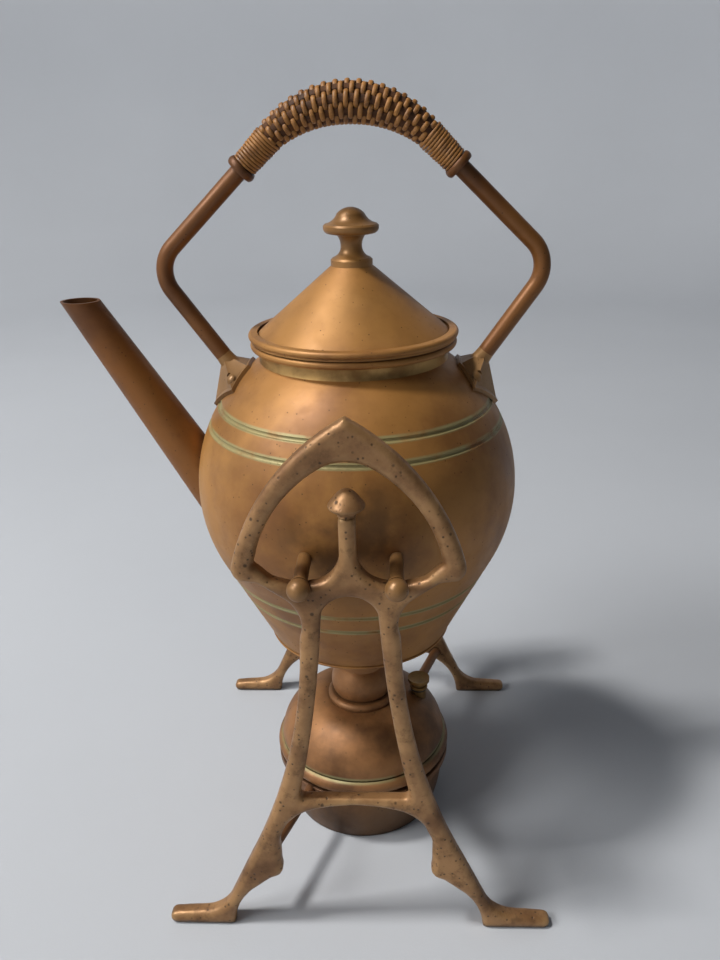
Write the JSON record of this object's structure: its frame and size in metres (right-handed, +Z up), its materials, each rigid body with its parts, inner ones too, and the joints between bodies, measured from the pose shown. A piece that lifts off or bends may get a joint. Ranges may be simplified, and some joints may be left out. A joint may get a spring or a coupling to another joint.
{
  "type": "spirit kettle on a stand",
  "caption": "Copper kettle hung on pegs in a two-frame cast stand, with a lift-off lid, a cane-bound bow handle and a spirit burner below.",
  "frame": {"origin": "on the floor, at the centre of the burner's base, on the axis shared by kettle, lid and burner", "axes": "+Z up, -X towards the spout, -Y towards the front frame"},
  "size_m": [0.206, 0.1924, 0.3405],
  "materials": {
    "cast_copper": "cast copper alloy, pitted, rubbed bright on its edges",
    "stand_rod": "drawn copper rod, dulled",
    "kettle_copper": "lacquered sheet copper, satin, lightly spotted",
    "handle_copper": "drawn copper, browned",
    "collar_brass": "sheet brass, dulled",
    "lid_copper": "spun copper, satin",
    "burner_copper": "spun copper, browned by heat",
    "filler_brass": "turned brass, aged",
    "cane": "split cane, aged",
    "wick_cotton": "cotton wick",
    "seal_rubber": "plain rubber washer"
  },
  "bodies": {
    "stand": {"front_frame": "cast_copper", "rear_frame": "cast_copper", "front_bud_finial": "cast_copper", "rear_bud_finial": "cast_copper", "cradle_ring": "stand_rod", "front_left_cradle_arm": "stand_rod", "front_right_cradle_arm": "stand_rod", "rear_left_cradle_arm": "stand_rod", "rear_right_cradle_arm": "stand_rod"},
    "kettle": {"kettle_body": "kettle_copper", "kettle_base": "kettle_copper", "neck_collar": "collar_brass", "mouth_rim": "kettle_copper", "spout": "kettle_copper", "handle_bow": "handle_copper", "left_handle_foot": "handle_copper", "right_handle_foot": "handle_copper", "handle_rivets": "handle_copper", "left_ferrule": "handle_copper", "right_ferrule": "handle_copper", "left_cane_wrap": "cane", "right_cane_wrap": "cane", "woven_grip": "cane", "front_left_peg": "handle_copper", "front_right_peg": "handle_copper", "rear_left_peg": "handle_copper", "rear_right_peg": "handle_copper"},
    "lid": {"lid_cone": "lid_copper", "lid_rim": "lid_copper", "lid_plug": "lid_copper", "lid_knob": "lid_copper", "knob_nut": "collar_brass"},
    "burner": {"reservoir_bowl": "burner_copper", "reservoir_dome": "burner_copper", "neck_flange": "burner_copper", "burner_neck": "burner_copper", "wick_tube": "collar_brass", "wick": "wick_cotton", "filler_boss": "filler_brass"},
    "stopper": {"filler_cap": "filler_brass", "cap_seal": "seal_rubber"}
  },
  "joints": [
    {"name": "kettle_tilt", "type": "hinge", "parent": "stand", "child": "kettle", "pos_m": [-0.0175, 0, 0.172], "axis": [0, -1, 0], "range_deg": [0, 42]},
    {"name": "lid_lift", "type": "slide", "parent": "kettle", "child": "lid", "axis": [0, 0, 1], "range_m": [0, 0.026]},
    {"name": "burner_lift", "type": "slide", "parent": "stand", "child": "burner", "axis": [0, 0, 1], "range_m": [0, 0.005]},
    {"name": "stopper_lift", "type": "slide", "parent": "burner", "child": "stopper", "axis": [0, 0, 1], "range_m": [0, 0.012]}
  ]
}
